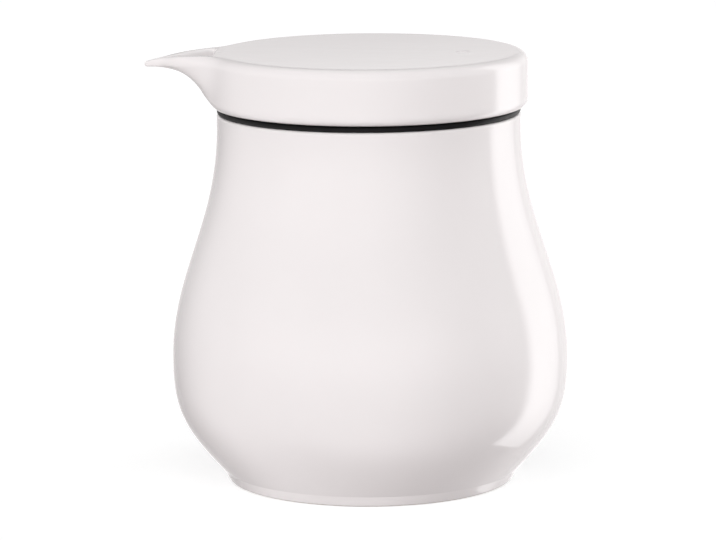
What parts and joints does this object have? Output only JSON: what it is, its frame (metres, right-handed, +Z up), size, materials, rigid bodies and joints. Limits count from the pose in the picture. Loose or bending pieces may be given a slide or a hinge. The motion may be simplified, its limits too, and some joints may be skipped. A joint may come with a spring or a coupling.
{
  "type": "lidded sauce jug",
  "caption": "Pear-shaped glazed porcelain sauce jug without a handle, closed by a lift-off porcelain lid that carries the pouring beak, a vent hole and a black silicone seal.",
  "frame": {"origin": "on the jug's axis, in the plane of the foot ring's underside, where it stands on the table", "axes": "+Z up along the jug's axis; -X towards the tip of the beak; the X-Z plane is the plane of symmetry"},
  "size_m": [0.1168, 0.11, 0.1195],
  "materials": {
    "body_porcelain": "white gloss glaze",
    "lid_porcelain": "white gloss glaze",
    "seal_silicone": "black, satin"
  },
  "bodies": {
    "jug": {"jug_body": "body_porcelain"},
    "seal": {"seal_ring": "seal_silicone"},
    "lid": {"lid": "lid_porcelain"}
  },
  "joints": [
    {"name": "lid_lift", "type": "slide", "parent": "jug", "child": "seal", "axis": [0, 0, 1], "range_m": [0, 0.06]},
    {"name": "lid_turn", "type": "hinge", "parent": "seal", "child": "lid", "pos_m": [0, 0, 0.104], "axis": [0, 0, 1], "continuous": true}
  ]
}
